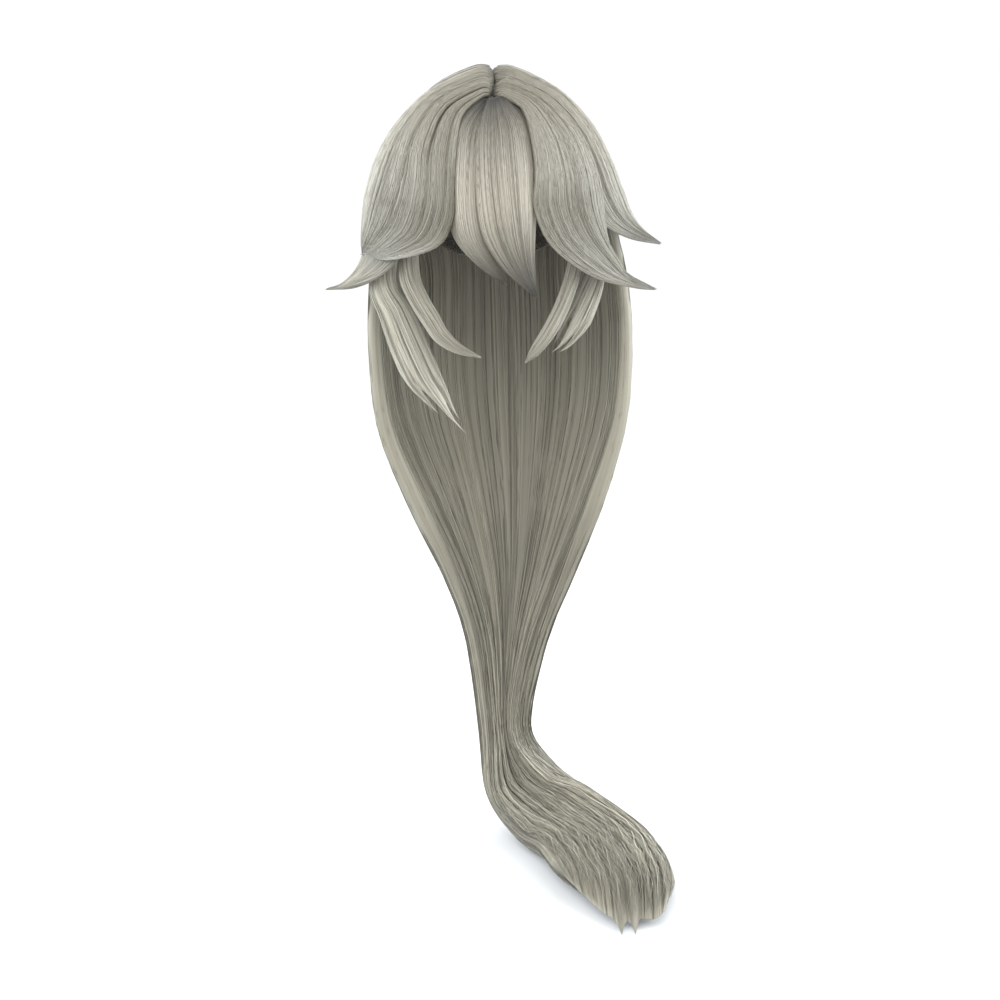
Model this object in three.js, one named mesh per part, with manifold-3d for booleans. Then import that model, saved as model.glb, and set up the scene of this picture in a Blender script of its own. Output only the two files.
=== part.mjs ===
// A long straight wig with a centre parting: a thin cap that fits the head, a pointed fringe, two swept
// bangs on each side that end in outward flicks, locks at the cheeks and shoulders, and three wide back
// panels that run from the parting down the back and draw together into one trailing tail.
// Millimetres, +Z up. The origin is the inside of the cap at the top of the head, the face looks along -Y
// and +X is on the right of someone who looks at the face.

import * as THREE from "three";
import { mergeVertices } from "three/addons/utils/BufferGeometryUtils.js";
import Module from "manifold-3d";

const wasm = await Module();
wasm.setup();

// Driving dimensions
const HEAD = { halfWidth: 76, halfLength: 96, halfHeight: 100 };
const CAP_WALL = 1.5;
const GAP = 0.4;
const SLIVER = 0.03;

// The hair dome is the outer face of the combed hair: quarter arcs that fall from the parting to an equator.
const DOME = { halfWidth: 115, front: 115, back: 122, equatorZ: -122, squareness: 1.11 };
const PARTING = {
  topZ: 13.5, frontY: -48, frontDrop: 22, backY: 45, backDrop: 8,
  flatFrontY: -8, flatBackY: 15,
};

// The cap's rim, as an angle down from the top of the head at each azimuth from the forehead.
const CAP_RIM = [
  { azimuth: 0, down: 52 },
  { azimuth: 30, down: 57 },
  { azimuth: 55, down: 92 },
  { azimuth: 90, down: 100 },
  { azimuth: 120, down: 112 },
  { azimuth: 150, down: 124 },
  { azimuth: 180, down: 128 },
];
const CAP_GRID = { around: 30, down: 6 };

// Ash-grey fibre, lighter where it lies in the light, and the dark knitted net of the cap.
const FIBRE = { fringe: 0xb0aba0, bang: 0xa9a598, lock: 0xb3b1a5, back: 0x99958a };
const NET = 0x5a5148;
const ROUGHNESS = { fibre: 0.5, net: 0.9 };

const radians = THREE.MathUtils.degToRad;

// A point of the hair dome. Azimuth 0 is the forehead and 90 the +X side. Arc runs from 0 at the parting
// to 90 at the equator, drop is millimetres below the equator, and out is the stand-off from the dome.
function onDome([azimuth, arc, drop = 0, out = 0]) {
  const angle = radians(azimuth);
  const ahead = Math.cos(angle);
  const ridgeY = ahead > 0 ? PARTING.frontY * ahead : -PARTING.backY * ahead;
  const frontFall = Math.max(0, PARTING.flatFrontY - ridgeY) / (PARTING.flatFrontY - PARTING.frontY);
  const backFall = Math.max(0, ridgeY - PARTING.flatBackY) / (PARTING.backY - PARTING.flatBackY);
  const ridgeZ = PARTING.topZ - PARTING.frontDrop * frontFall ** 2 - PARTING.backDrop * backFall ** 2;
  const equatorX = DOME.halfWidth * Math.sin(angle);
  const equatorY = -(ahead > 0 ? DOME.front : DOME.back) * ahead;
  const outward = Math.sin(radians(arc)) ** DOME.squareness;
  const height = Math.max(0, Math.cos(radians(arc))) ** DOME.squareness;
  const aside = out * Math.sin(radians(arc));
  return new THREE.Vector3(
    equatorX * outward + aside * Math.sin(angle),
    ridgeY + (equatorY - ridgeY) * outward - aside * ahead,
    DOME.equatorZ + (ridgeZ - DOME.equatorZ) * height - drop + out * Math.cos(radians(arc)),
  );
}

// Smooth curve through points, from 0 at the first to 1 at the last.
function through(points) {
  return new THREE.CatmullRomCurve3(points, false, "catmullrom", 0.5);
}

// A surface laid across guide strands: u crosses the guides and v runs from root to tip.
function acrossGuides(guides) {
  const strands = guides.map(through);
  return (u, v) => through(strands.map((strand) => strand.getPoint(v))).getPoint(u);
}

// Thickness of a combed sheet: full in the middle, with a share of it left along both long edges, at the root
// and at the tip, and the share of the length over which root and tip fill out.
const COMBED = { edgeShare: 0.35, tipShare: 0.3, rootRun: 0.2, tipRun: 0.3 };

function combed(thickness, rootShare = 0.6) {
  const { edgeShare, tipShare, rootRun, tipRun } = COMBED;
  return (u, v) => {
    const edge = edgeShare + (1 - edgeShare) * (1 - Math.abs(2 * u - 1) ** 3);
    const root = rootShare + (1 - rootShare) * Math.min(1, v / rootRun);
    const tip = tipShare + (1 - tipShare) * Math.min(1, (1 - v) / tipRun);
    return thickness * edge * root * tip;
  };
}

// A closed solid: the surface moved half its thickness to each side, joined along its four edges.
function sheetSolid(surface, thickness, across, along) {
  const step = 1e-3;
  const vertices = [];
  for (const side of [0.5, -0.5]) {
    for (let j = 0; j <= along; j++) {
      for (let i = 0; i <= across; i++) {
        const [u, v] = [i / across, j / along];
        const [u0, u1] = [Math.max(0, u - step), Math.min(1, u + step)];
        const [v0, v1] = [Math.max(0, v - step), Math.min(1, v + step)];
        const acrossWay = surface(u1, v).sub(surface(u0, v));
        const alongWay = surface(u, v1).sub(surface(u, v0));
        const normal = acrossWay.cross(alongWay).normalize();
        vertices.push(surface(u, v).addScaledVector(normal, side * thickness(u, v)));
      }
    }
  }
  const row = across + 1;
  const back = row * (along + 1);
  const faces = [];
  const quad = (a, b, c, d) => faces.push(a, b, c, a, c, d);
  for (let j = 0; j < along; j++) {
    for (let i = 0; i < across; i++) {
      const a = j * row + i;
      quad(a, a + 1, a + 1 + row, a + row);
      quad(back + a, back + a + row, back + a + 1 + row, back + a + 1);
    }
  }
  for (let i = 0; i < across; i++) {
    const end = along * row + i;
    quad(i, back + i, back + i + 1, i + 1);
    quad(end, end + 1, back + end + 1, back + end);
  }
  for (let j = 0; j < along; j++) {
    const [left, right] = [j * row, j * row + across];
    quad(left, left + row, back + left + row, back + left);
    quad(right, back + right, back + right + row, right + row);
  }
  return facingOut(vertices, faces);
}

// A geometry from points and triangles, turned so that its faces point out.
function facingOut(points, faces) {
  const geometry = new THREE.BufferGeometry().setFromPoints(points).setIndex(faces);
  if (toManifold(geometry).volume() < 0) geometry.setIndex(faces.toReversed());
  return geometry;
}

function toManifold(geometry) {
  const bare = geometry.clone();
  bare.deleteAttribute("normal");
  bare.deleteAttribute("uv");
  const merged = mergeVertices(bare, 1e-3);
  const vertProperties = merged.attributes.position.array;
  const triVerts = new Uint32Array(merged.index.array);
  return new wasm.Manifold(new wasm.Mesh({ numProp: 3, vertProperties, triVerts }));
}

function toGeometry(solid) {
  const mesh = solid.getMesh();
  return new THREE.BufferGeometry()
    .setAttribute("position", new THREE.BufferAttribute(mesh.vertProperties, 3))
    .setIndex(new THREE.BufferAttribute(mesh.triVerts, 1));
}

// A closed form with its clearance: every vertex moved out along the mean of the directions its faces
// look in, joined with the form itself.
function grown(geometry, distance) {
  const bare = geometry.clone();
  bare.deleteAttribute("normal");
  const merged = mergeVertices(bare, 1e-3);
  const { position } = merged.attributes;
  const ways = Array.from({ length: position.count }, () => new THREE.Vector3());
  const face = new THREE.Triangle();
  const normal = new THREE.Vector3();
  for (let i = 0; i < merged.index.count; i += 3) {
    const corners = [0, 1, 2].map((k) => merged.index.getX(i + k));
    face.setFromAttributeAndIndices(position, ...corners).getNormal(normal);
    corners.forEach((corner) => ways[corner].add(normal));
  }
  ways.forEach((way, i) => {
    const moved = new THREE.Vector3().fromBufferAttribute(position, i);
    moved.addScaledVector(way.normalize(), distance);
    position.setXYZ(i, moved.x, moved.y, moved.z);
  });
  return toManifold(merged).add(toManifold(geometry));
}

// What is left of a solid after cuts, without the slivers and loose crumbs that a cut can leave.
function cutBy(geometry, cutters) {
  const left = cutters.reduce((solid, cutter) => solid.subtract(cutter), toManifold(geometry));
  const bodies = left.simplify(SLIVER).decompose().sort((a, b) => b.volume() - a.volume());
  return toGeometry(bodies[0]);
}

// The cap is a wall of even thickness on the head, cut off along its rim.
function capSolid() {
  const rim = through(CAP_RIM.map(({ azimuth, down }) => new THREE.Vector3(azimuth, down, 0)));
  const rimPoints = rim.getPoints(180);
  const rimAngle = (azimuth) => {
    const folded = Math.abs(((azimuth + 180) % 360) - 180);
    return rimPoints.reduce((a, b) => (Math.abs(b.x - folded) < Math.abs(a.x - folded) ? b : a)).y;
  };
  const { around, down } = CAP_GRID;
  const vertices = [];
  const faces = [];
  for (const wall of [CAP_WALL, 0]) {
    vertices.push(new THREE.Vector3(0, 0, wall));
    for (let j = 1; j <= down; j++) {
      for (let i = 0; i < around; i++) {
        const azimuth = (i / around) * 360;
        const polar = radians(rimAngle(azimuth) * (j / down));
        vertices.push(
          new THREE.Vector3(
            (HEAD.halfWidth + wall) * Math.sin(polar) * Math.sin(radians(azimuth)),
            -(HEAD.halfLength + wall) * Math.sin(polar) * Math.cos(radians(azimuth)),
            (HEAD.halfHeight + wall) * Math.cos(polar) - HEAD.halfHeight,
          ),
        );
      }
    }
  }
  const inner = 1 + around * down;
  for (let i = 0; i < around; i++) {
    const next = (i + 1) % around;
    faces.push(0, 1 + i, 1 + next, inner, inner + 1 + next, inner + 1 + i);
    for (let j = 0; j < down - 1; j++) {
      const [a, b] = [1 + j * around + i, 1 + j * around + next];
      faces.push(a, a + around, b + around, a, b + around, b);
      faces.push(inner + a, inner + b + around, inner + a + around, inner + a, inner + b, inner + b + around);
    }
    const [a, b] = [1 + (down - 1) * around + i, 1 + (down - 1) * around + next];
    faces.push(a, inner + a, inner + b, a, inner + b, b);
  }
  return facingOut(vertices, faces);
}

// The space that the head and the cap fill, which no hair may enter. A small turn keeps its edges out of the
// plane of the parting, where edges of the hair lie.
const HEAD_FORM = { around: 40, down: 28, turn: 3 };

function headForm() {
  const wall = CAP_WALL + GAP;
  const form = new THREE.SphereGeometry(1, HEAD_FORM.around, HEAD_FORM.down);
  form.rotateY(radians(HEAD_FORM.turn));
  form.scale(HEAD.halfWidth + wall, HEAD.halfHeight + wall, HEAD.halfLength + wall);
  form.rotateX(Math.PI / 2);
  form.translate(0, 0, -HEAD.halfHeight);
  return toManifold(form);
}

// Swept sheets, each laid across guide strands from its inner edge to its outer edge. A row of a guide is
// [azimuth, arc, drop, out] for the outer face of the hair.
const SHEETS = {
  bang_left_upper: {
    thickness: 9,
    guides: [
      [[-24, 4, 0, -4], [-27, 12], [-28, 30], [-21, 49], [-18, 66], [-17, 80],
        [-24, 90, 6, 1], [-46, 90, 19, 4], [-78, 90, 24, 8]],
      [[-36, 1.6, 0, -4], [-42, 11], [-48, 33], [-43, 52], [-38, 65], [-38, 77],
        [-43, 88, 0, 1], [-58, 90, 15, 4], [-82, 90, 25, 8]],
      [[-70, 1, 0, -4], [-71, 10], [-73, 31], [-74, 48], [-73, 61], [-72, 73],
        [-73, 84, 0, 1], [-77, 90, 10, 3], [-87, 90, 27, 8]],
      [[-104, 1, 0, -4], [-103, 10], [-101, 30], [-100, 49], [-98, 64], [-97, 78],
        [-96, 90], [-94, 90, 16, 2], [-91, 90, 30, 7]],
    ],
  },
  bang_right_lower: {
    thickness: 9,
    guides: [
      [[18, 5.5, 0, -4], [26, 12], [31, 27], [24, 46], [21, 61], [18, 75],
        [25, 90, 5], [45, 90, 33, 4], [66, 90, 47, 20], [75, 90, 53, 36]],
      [[32, 1.7, 0, -4], [40, 11], [45, 29], [46, 48], [44, 64], [43, 79],
        [50, 90, 4], [63, 90, 28, 4], [71, 90, 42, 19], [75, 90, 51, 36]],
      [[46, 1.3, 0, -4], [57, 10], [63, 30], [62, 49], [60, 67], [58, 81],
        [60, 90, 6], [68, 90, 26, 3], [73, 90, 39, 18], [76, 90, 49, 36]],
    ],
  },
  bang_right_upper: {
    thickness: 9,
    guides: [
      [[48, 1.3, 0, -9], [50, 10, 0, -7], [52, 31, 0, -7], [51, 49, 0, -7], [50, 63, 0, -7],
        [50, 75, 0, -6], [57, 86, 0, -1], [70, 90, 7, 12], [80, 90, 15, 35]],
      [[72, 1, 0, -4], [73, 10], [74, 30], [73, 48], [71, 63],
        [70, 74], [73, 84, 0, 2], [77, 90, 1, 13], [81, 90, 13, 35]],
      [[104, 1, 0, -4], [103, 10], [101, 30], [99, 49], [97, 64],
        [95, 75], [92, 82, 0, 2], [86, 88, 0, 12], [82, 90, 11, 35]],
    ],
  },
  bang_left_lower: {
    thickness: 8,
    guides: [
      [[-45, 71, 0, -9], [-44, 84, 0, -9], [-47, 90, 16, -7], [-57, 90, 34, 3],
        [-68, 90, 43, 20], [-75, 90, 52, 37]],
      [[-68, 71, 0, -9], [-67, 84, 0, -9], [-68, 90, 16, -6], [-71, 90, 32, 4],
        [-73, 90, 42, 22], [-76, 90, 50, 37]],
      [[-92, 71, 0, -9], [-92, 84, 0, -9], [-91, 90, 14, -5], [-88, 90, 29, 3],
        [-82, 90, 40, 20], [-76, 90, 48, 37]],
    ],
  },
  fringe_main: {
    thickness: 7,
    guides: [
      [[-14, 5, 0, -3], [-13, 16], [-12, 38], [-9, 58], [-7, 75], [-4, 89], [5, 90, 25, 1], [17, 90, 44, 1]],
      [[3, 5, 0, -3], [4, 16], [5, 38], [5, 58], [6, 75], [8, 89], [12, 90, 22, 1], [18, 90, 45, 1]],
      [[30, 4, 0, -6], [36, 14, 0, -7], [33, 33, 0, -8], [27, 51, 0, -8], [22, 68, 0, -6],
        [19, 84, 0, -4], [18, 90, 17, -1], [19, 90, 46, 1]],
    ],
  },
  fringe_point: {
    thickness: 6,
    guides: [
      [[-30, 5, 0, -8], [-36, 15, 0, -9], [-33, 35, 0, -9], [-26, 56, 0, -9], [-22, 75, 0, -9],
        [-17, 90, 1, -8], [-6, 90, 22, -5], [5, 90, 37, -3]],
      [[-10, 7, 0, -6], [-13, 17, 0, -5], [-16, 37, 0, -4], [-13, 57, 0, -4], [-11, 75, 0, -4],
        [-8, 90, 0, -4], [-1, 90, 21, -3], [6, 90, 36, -2]],
      [[-2, 7, 0, -7], [-5, 17, 0, -7], [-9, 38, 0, -7], [-7, 58, 0, -7], [-6, 75, 0, -7],
        [-3, 89, 0, -7], [2, 90, 20, -5], [6, 90, 34, -3]],
    ],
  },
};
const SHEET_GRID = { across: 6, along: 14 };

// Back hair below the equator. Each row is a bow: its middle, its half-width, how far its ends come forward,
// the turn from its middle to its ends, its thickness, how far its outer face has turned from the back (0)
// to the ground (90), and how far its ends trail behind its middle.
const BACK_ROWS = [
  { x: 4, y: 112, z: -170, half: 106, bow: 112, reach: 90, thickness: 13, lean: 0, trail: 0 },
  { x: 6, y: 106, z: -230, half: 107, bow: 104, reach: 90, thickness: 14, lean: 0, trail: 0 },
  { x: 8, y: 102, z: -300, half: 103, bow: 94, reach: 90, thickness: 16, lean: 0, trail: 0 },
  { x: 12, y: 108, z: -380, half: 81, bow: 70, reach: 85, thickness: 20, lean: 0, trail: 0 },
  { x: 14, y: 128, z: -460, half: 56, bow: 40, reach: 75, thickness: 25, lean: 0, trail: 0 },
  { x: 12, y: 150, z: -540, half: 34, bow: 20, reach: 60, thickness: 30, lean: 0, trail: 0 },
  { x: 10, y: 166, z: -635, half: 21, bow: 10, reach: 50, thickness: 30, lean: 0, trail: 0 },
  { x: 25, y: 166, z: -692, half: 34, bow: 8, reach: 45, thickness: 30, lean: 20, trail: 0 },
  { x: 57, y: 143, z: -722, half: 46, bow: 8, reach: 45, thickness: 30, lean: 65, trail: 0 },
  { x: 92, y: 96, z: -732, half: 55, bow: 8, reach: 45, thickness: 29, lean: 90, trail: 0 },
  { x: 108, y: 44, z: -733, half: 54, bow: 8, reach: 45, thickness: 27, lean: 90, trail: 2 },
  { x: 117, y: -10, z: -735, half: 46, bow: 8, reach: 45, thickness: 22, lean: 90, trail: 10 },
  { x: 119, y: -84, z: -740, half: 38, bow: 5, reach: 45, thickness: 12, lean: 90, trail: 46 },
];
const BACK = {
  frontAzimuth: 80, coverAzimuth: 92, clearAzimuth: 108, underBangs: -10,
  domeThickness: 11, rootDip: 4, edgeShare: 0.75, tipShare: 0.2, tipRun: 0.08,
};
const BACK_ARCS = [1.5, 10, 30, 50, 69, 84];
const BACK_PANELS = [
  { name: "back_left", from: 0, to: 0.32 },
  { name: "back_centre", from: 0.324, to: 0.676 },
  { name: "back_right", from: 0.68, to: 1 },
];
const BACK_GRID = { across: 6, along: 34 };

// One strand of the back hair, at a share of the way from the left front edge to the right one. On the dome
// its front edges lie under the bangs, and from the cover azimuth to the clear one they come out to the dome.
function backStrand(share) {
  const turn = (2 * share - 1) * (180 - BACK.frontAzimuth);
  const azimuth = 180 - Math.abs(turn);
  const side = Math.sign(turn);
  const cover = THREE.MathUtils.smoothstep(azimuth, BACK.coverAzimuth, BACK.clearAzimuth);
  const out = BACK.underBangs * (1 - cover) - BACK.domeThickness / 2;
  const points = BACK_ARCS.map((arc, index) => {
    const dip = index ? 0 : BACK.rootDip;
    return onDome([side < 0 ? -azimuth : azimuth, arc, 0, out - dip]);
  });
  BACK_ROWS.forEach((row, index) => {
    const along = backWay(index);
    const lean = radians(row.lean);
    const reach = radians(row.reach);
    const swing = reach * (2 * share - 1);
    const aside = Math.sin(swing) / Math.sin(reach);
    const forward = (1 - Math.cos(swing)) / (1 - Math.cos(reach));
    const outer = new THREE.Vector3(0, Math.cos(lean), -Math.sin(lean));
    const acrossWay = along.clone().cross(outer).normalize();
    points.push(
      new THREE.Vector3(row.x, row.y, row.z)
        .addScaledVector(acrossWay, row.half * aside)
        .addScaledVector(outer, -row.bow * forward)
        .addScaledVector(along, -row.trail * forward),
    );
  });
  return points;
}

// The direction in which the back hair runs at one of its rows.
function backWay(index) {
  const before = BACK_ROWS[Math.max(0, index - 1)];
  const after = BACK_ROWS[Math.min(BACK_ROWS.length - 1, index + 1)];
  return new THREE.Vector3(after.x - before.x, after.y - before.y, after.z - before.z).normalize();
}

function backPanel({ from, to }) {
  const guides = [0, 0.25, 0.5, 0.75, 1].map((part) => backStrand(from + (to - from) * part));
  const onHead = BACK_ARCS.map((_, index) => (index ? BACK.domeThickness : BACK.domeThickness / 3));
  const below = BACK_ROWS.map((row) => row.thickness);
  const depths = through([...onHead, ...below].map((depth) => new THREE.Vector3(depth, 0, 0)));
  const thickness = (u, v) => {
    const edge = BACK.edgeShare + (1 - BACK.edgeShare) * (1 - Math.abs(2 * u - 1) ** 3);
    const tip = Math.min(1, BACK.tipShare + (1 - v) / BACK.tipRun);
    return depths.getPoint(v).x * edge * tip;
  };
  return sheetSolid(acrossGuides(guides), thickness, BACK_GRID.across, BACK_GRID.along);
}

// Hanging locks: the middle line from root to tip, with the half-width at each point and how far the lock has
// turned there from facing straight out from the head (0) to facing forward (1).
const LOCKS = {
  cheek_lock_left: {
    thickness: 6,
    line: [
      { x: -63, y: -57, z: -95, half: 9, turn: 0 },
      { x: -69, y: -60, z: -128, half: 9.5, turn: 0.2 },
      { x: -70, y: -61, z: -157, half: 9.5, turn: 0.6 },
      { x: -62, y: -65, z: -177, half: 8.5, turn: 0.7 },
      { x: -52, y: -70, z: -193, half: 8, turn: 0.8 },
      { x: -43, y: -75, z: -206, half: 7, turn: 0.8 },
      { x: -29, y: -80, z: -216, half: 4.5, turn: 0.9 },
      { x: -9, y: -85, z: -223, half: 1, turn: 1 },
    ],
  },
  cheek_lock_right: {
    thickness: 6,
    line: [
      { x: 63, y: -57, z: -95, half: 8, turn: 0 },
      { x: 69, y: -60, z: -128, half: 7.5, turn: 0.2 },
      { x: 66, y: -61, z: -157, half: 6.5, turn: 0.5 },
      { x: 57, y: -66, z: -183, half: 6.5, turn: 0.6 },
      { x: 46, y: -74, z: -203, half: 6, turn: 0.7 },
      { x: 35, y: -79, z: -218, half: 4.5, turn: 0.8 },
      { x: 26, y: -83, z: -228, half: 1.2, turn: 1 },
    ],
  },
  side_lock_left: {
    thickness: 8,
    line: [
      { x: -73, y: -34, z: -100, half: 10, turn: 0 },
      { x: -88, y: -38, z: -140, half: 12, turn: 0.3 },
      { x: -93, y: -42, z: -168, half: 12, turn: 0.7 },
      { x: -83, y: -46, z: -191, half: 14, turn: 0.9 },
      { x: -72, y: -50, z: -219, half: 16, turn: 1 },
      { x: -60, y: -53, z: -245, half: 16, turn: 1 },
      { x: -48, y: -55, z: -262, half: 13, turn: 1 },
      { x: -36, y: -56, z: -279, half: 7.5, turn: 1 },
      { x: -20, y: -57, z: -297, half: 1, turn: 1 },
    ],
  },
  side_lock_right: {
    thickness: 8,
    line: [
      { x: 73, y: -34, z: -100, half: 10, turn: 0 },
      { x: 86, y: -38, z: -140, half: 11, turn: 0.3 },
      { x: 83, y: -42, z: -166, half: 11, turn: 0.7 },
      { x: 76, y: -46, z: -185, half: 12, turn: 0.9 },
      { x: 68, y: -50, z: -201, half: 12, turn: 1 },
      { x: 57, y: -53, z: -217, half: 7.5, turn: 1 },
      { x: 46, y: -55, z: -226, half: 1.2, turn: 1 },
    ],
  },
};
const LOCK_GRID = { across: 4, along: 11 };
const LOCK_CROWN = 0.25;
const FORWARD = new THREE.Vector3(0, -1, 0);
const LOCK_ROOT_SHARE = 0.9;

// A lock lies flat, so its width runs across the way it faces. Its middle stands out by a share of its
// half-width.
function lockSolid({ thickness, line }) {
  const points = line.map(({ x, y, z }) => new THREE.Vector3(x, y, z));
  const guides = [-1, 0, 1].map((side) =>
    points.map((point, index) => {
      const way = points[Math.min(index + 1, points.length - 1)].clone().sub(points[Math.max(index - 1, 0)]);
      const straightOut = new THREE.Vector3(point.x, point.y, 0).normalize();
      const facing = straightOut.lerp(FORWARD, line[index].turn).normalize();
      const acrossWay = facing.clone().cross(way).normalize();
      const crown = (1 - Math.abs(side)) * line[index].half * LOCK_CROWN;
      return point.clone().addScaledVector(acrossWay, side * line[index].half).addScaledVector(facing, crown);
    }),
  );
  const depth = combed(thickness, LOCK_ROOT_SHARE);
  return sheetSolid(acrossGuides(guides), depth, LOCK_GRID.across, LOCK_GRID.along);
}

// Assembly: the outer layers stay whole, and each layer under them is cut back clear of the ones above.
const wig = new THREE.Group();
wig.name = "wig";

function addPiece(name, geometry, color, roughness) {
  const piece = new THREE.Mesh(geometry, new THREE.MeshStandardMaterial({ color, roughness, metalness: 0 }));
  piece.name = name;
  wig.add(piece);
}

addPiece("cap", capSolid(), NET, ROUGHNESS.net);

const forms = [];
for (const [name, { guides, thickness }] of Object.entries(SHEETS)) {
  const middle = ([azimuth, arc, drop = 0, out = 0]) => onDome([azimuth, arc, drop, out - thickness / 2]);
  const surface = acrossGuides(guides.map((guide) => guide.map(middle)));
  const color = name.startsWith("fringe") ? FIBRE.fringe : FIBRE.bang;
  forms.push([name, color, sheetSolid(surface, combed(thickness), SHEET_GRID.across, SHEET_GRID.along)]);
}
for (const panel of BACK_PANELS) forms.push([panel.name, FIBRE.back, backPanel(panel)]);
for (const [name, lock] of Object.entries(LOCKS)) forms.push([name, FIBRE.lock, lockSolid(lock)]);

const cutters = [headForm()];
for (const [name, color, form] of forms) {
  const piece = cutBy(form, cutters);
  addPiece(name, piece, color, ROUGHNESS.fibre);
  cutters.push(grown(piece, GAP));
}

export default wig;
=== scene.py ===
"""A long straight ash-grey wig in its worn form: a net cap, back hair that gathers into a trailing tail,
side and cheek locks, a pointed fringe and swept bangs with outward flicks. Metres, +Z up, face to -Y."""

import math

import bpy
import numpy as np
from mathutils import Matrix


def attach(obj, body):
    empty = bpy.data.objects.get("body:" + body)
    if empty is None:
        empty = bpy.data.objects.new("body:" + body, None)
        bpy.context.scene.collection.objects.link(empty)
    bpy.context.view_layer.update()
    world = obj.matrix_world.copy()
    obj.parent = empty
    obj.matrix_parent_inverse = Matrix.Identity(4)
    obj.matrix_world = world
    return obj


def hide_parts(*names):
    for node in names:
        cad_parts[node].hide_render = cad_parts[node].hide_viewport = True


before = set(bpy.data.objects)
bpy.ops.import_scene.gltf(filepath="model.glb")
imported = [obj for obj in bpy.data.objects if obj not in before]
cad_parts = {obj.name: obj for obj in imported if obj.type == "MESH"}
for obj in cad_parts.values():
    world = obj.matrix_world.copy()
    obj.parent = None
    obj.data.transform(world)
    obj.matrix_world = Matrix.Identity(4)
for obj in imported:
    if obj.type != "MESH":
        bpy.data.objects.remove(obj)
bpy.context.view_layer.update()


# Cap
# A thin cap of dark knitted net that carries the hair. It is stretched over the crown from the hairline to
# the nape, and its open edge is turned over into a narrow hem.

CAP_HALF = np.array([0.076, 0.096, 0.1])
CAP_WALL = 0.0015
CAP_HEM = {"height": 0.0009, "run": 0.05}
CAP_RIM_AZIMUTH = [0, 30, 55, 90, 120, 150, 180]
CAP_RIM_DOWN = [52, 57, 92, 100, 112, 124, 128]
CAP_GRID = {"around": 180, "down": 48, "top_share": 0.004}
WEFT = {"rows": 26, "height": 0.0005, "sharpness": 6}


def mesh_piece(name, points, faces, uv=None, **values):
    """A smooth mesh object from whole arrays: points, arrays of quads and of triangles by corner number, a
    place on the piece's own map for each corner, and one value per point by name."""
    mesh = bpy.data.meshes.new(name)
    corners = np.concatenate([face.ravel() for face in faces]).astype(np.int32)
    sizes = np.concatenate([np.full(len(face), face.shape[1]) for face in faces])
    mesh.vertices.add(len(points))
    mesh.vertices.foreach_set("co", points.astype(np.float32).ravel())
    mesh.loops.add(len(corners))
    mesh.loops.foreach_set("vertex_index", corners)
    mesh.polygons.add(len(sizes))
    mesh.polygons.foreach_set("loop_start", (np.cumsum(sizes) - sizes).astype(np.int32))
    for value, numbers in values.items():
        mesh.attributes.new(value, "FLOAT", "POINT").data.foreach_set("value", numbers.astype(np.float32))
    if uv is not None:
        places = np.concatenate([place.reshape(-1, 2) for place in uv])
        mesh.uv_layers.new(name="OFBake").data.foreach_set("uv", places.astype(np.float32).ravel())
    mesh.update(calc_edges=True)
    mesh.shade_smooth()
    piece = bpy.data.objects.new(name, mesh)
    bpy.context.scene.collection.objects.link(piece)
    return piece


def cap_wall(around, down, lift):
    """Ellipsoid from the top of the head to the rim: azimuth turns from the forehead, the angle down goes to
    the rim's angle at that azimuth, and lift is added to the three half-axes."""
    azimuth = np.linspace(0, 2 * np.pi, around, endpoint=False)
    folded = np.degrees(np.abs((azimuth + np.pi) % (2 * np.pi) - np.pi))
    rim = np.radians(np.interp(folded, CAP_RIM_AZIMUTH, CAP_RIM_DOWN))
    polar = rim * np.linspace(CAP_GRID["top_share"], 1, down)[:, None]
    axes = CAP_HALF + lift[..., None]
    unit = np.stack([np.sin(polar) * np.sin(azimuth), -np.sin(polar) * np.cos(azimuth), np.cos(polar)], -1)
    return axes * unit - [0, 0, CAP_HALF[2]]


def grid_quads(rows, columns, closed=False):
    """Corner numbers of the quads of a grid whose points are numbered row by row."""
    steps = columns if closed else columns - 1
    row, column = np.meshgrid(np.arange(rows - 1), np.arange(steps), indexing="ij")
    here = row * columns + column
    beside = row * columns + (column + 1) % columns
    return np.stack([here, beside, beside + columns, here + columns], -1).reshape(-1, 4)


def cap_piece():
    """Outer wall with sewn rows as low ridges and a raised hem, an even inner wall and a strip at the rim."""
    around, down = CAP_GRID["around"], CAP_GRID["down"]
    share = np.linspace(0, 1, down)[:, None] * np.ones(around)
    hem = CAP_HEM["height"] * np.exp(-(((1 - share) / CAP_HEM["run"]) ** 2))
    rows = WEFT["height"] * np.abs(np.sin(np.pi * WEFT["rows"] * share)) ** WEFT["sharpness"]
    outer = cap_wall(around, down, CAP_WALL + hem + rows).reshape(-1, 3)
    inner = cap_wall(around, down, np.zeros((down, around))).reshape(-1, 3)
    points = np.concatenate([outer, inner, outer[:around].mean(0)[None], inner[:around].mean(0)[None]])
    wall = grid_quads(down, around, closed=True)
    ring = np.arange(around)
    after = (ring + 1) % around
    last = (down - 1) * around
    count = down * around
    rim = np.stack([last + ring, last + after, count + last + after, count + last + ring], -1)
    top = np.stack([np.full(around, 2 * count), after, ring], -1)
    under = np.stack([np.full(around, 2 * count + 1), count + ring, count + after], -1)
    faces = [wall[:, ::-1], wall + count, rim[:, ::-1], top[:, ::-1], under[:, ::-1]]
    return mesh_piece("cap_net", points, faces)


def new_material(name):
    """A new material with its node tree and its one shader."""
    material = bpy.data.materials.new(name)
    material.use_nodes = True
    return material, material.node_tree, material.node_tree.nodes["Principled BSDF"]


def fill(tree, node, inputs):
    """Gives inputs of a node, by name or number, a link from a socket or a plain value."""
    for name, given in inputs.items():
        if isinstance(given, bpy.types.NodeSocket):
            tree.links.new(given, node.inputs[name])
        else:
            node.inputs[name].default_value = given


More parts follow.
